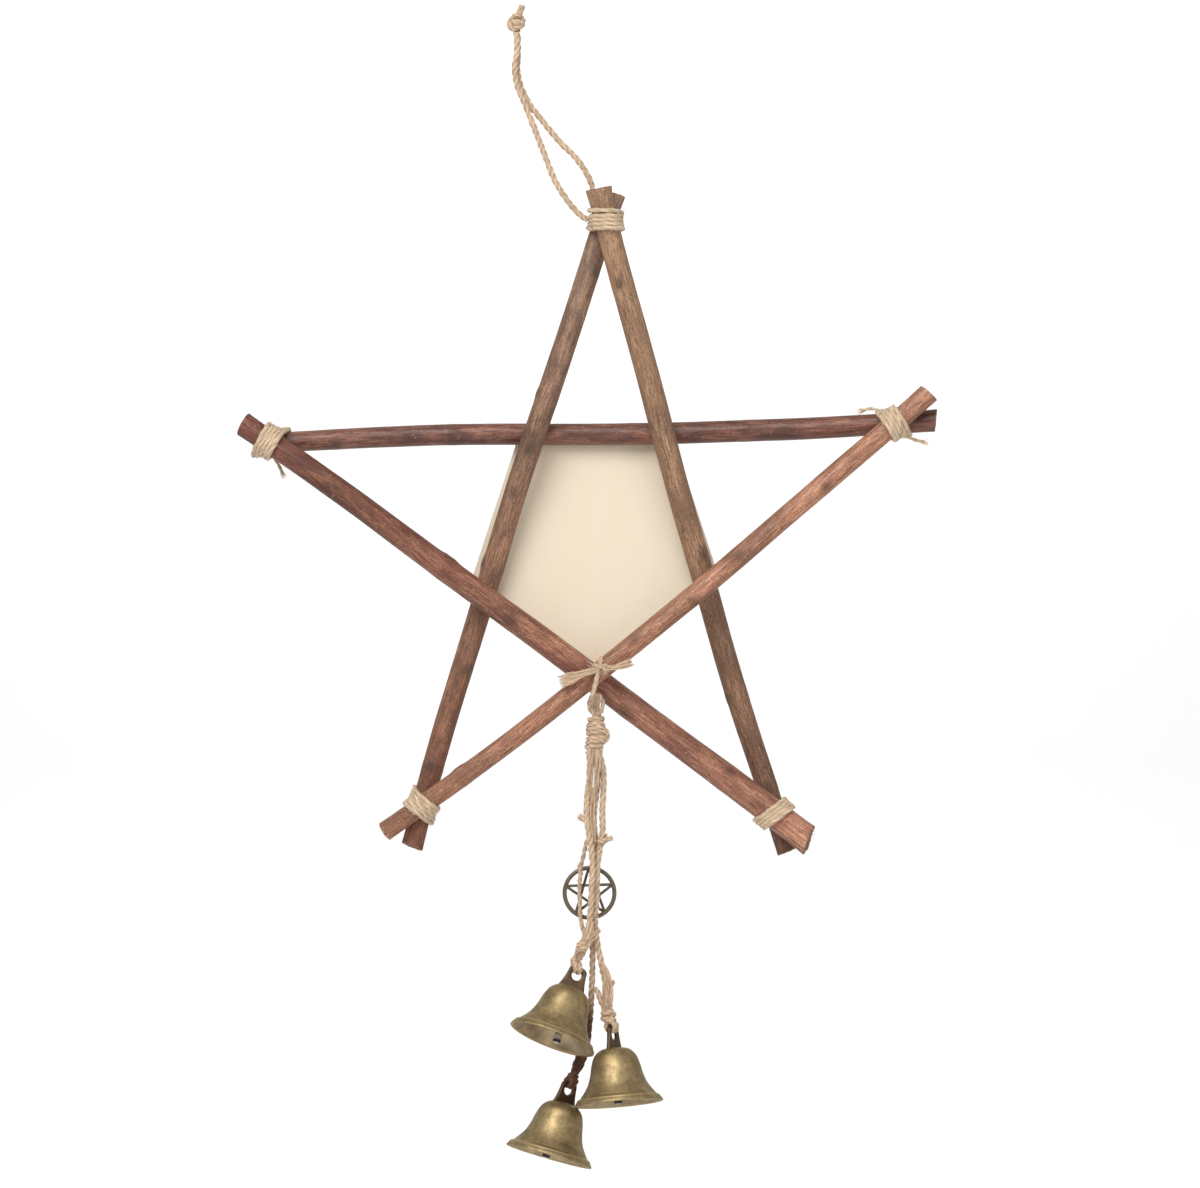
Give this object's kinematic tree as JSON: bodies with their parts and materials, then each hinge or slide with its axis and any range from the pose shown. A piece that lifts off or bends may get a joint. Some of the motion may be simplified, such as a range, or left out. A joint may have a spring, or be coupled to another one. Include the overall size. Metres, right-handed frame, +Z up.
{
  "type": "wall hanging",
  "caption": "Willow-rod pentagram wall hanging with jute lashings, a plywood pentagon, a hanging loop and a jute hank that carries cast bells and a pentacle charm.",
  "frame": {"origin": "the nail the piece hangs on, inside the hanging loop under its knot", "axes": "+Z up, +X to the right seen from the front, +Y back into the wall, front towards -Y"},
  "size_m": [0.3008, 0.0478, 0.5014],
  "materials": {
    "left_leg_bark": "grey-brown bark",
    "right_leg_bark": "olive-brown bark",
    "crossbar_bark": "glossy purple-brown bark",
    "left_diagonal_bark": "red-brown bark",
    "right_diagonal_bark": "warm tan bark",
    "plywood": "bare laser-cut plywood",
    "jute": "twisted jute",
    "antique_brass": "antiqued cast brass",
    "bronze": "dark antiqued casting",
    "steel": "plain wire"
  },
  "bodies": {
    "root": {"left_leg_rod": "left_leg_bark", "right_leg_rod": "right_leg_bark", "crossbar_rod": "crossbar_bark", "left_diagonal_rod": "left_diagonal_bark", "right_diagonal_rod": "right_diagonal_bark", "top_lashing": "jute", "left_lashing": "jute", "right_lashing": "jute", "lower_left_lashing": "jute", "lower_right_lashing": "jute", "pentagon_plate": "plywood", "loop_knot": "jute", "loop_left_strand": "jute", "loop_right_strand": "jute", "centre_tie": "jute", "hank": "jute", "left_bell": "antique_brass", "left_bell_clapper": "steel", "left_bell_cord": "jute", "right_bell": "antique_brass", "right_bell_clapper": "steel", "right_bell_cord": "jute", "lowest_bell": "antique_brass", "lowest_bell_clapper": "steel", "lowest_bell_cord": "jute", "pentacle_charm": "bronze", "charm_cord": "jute"}
  },
  "joints": []
}
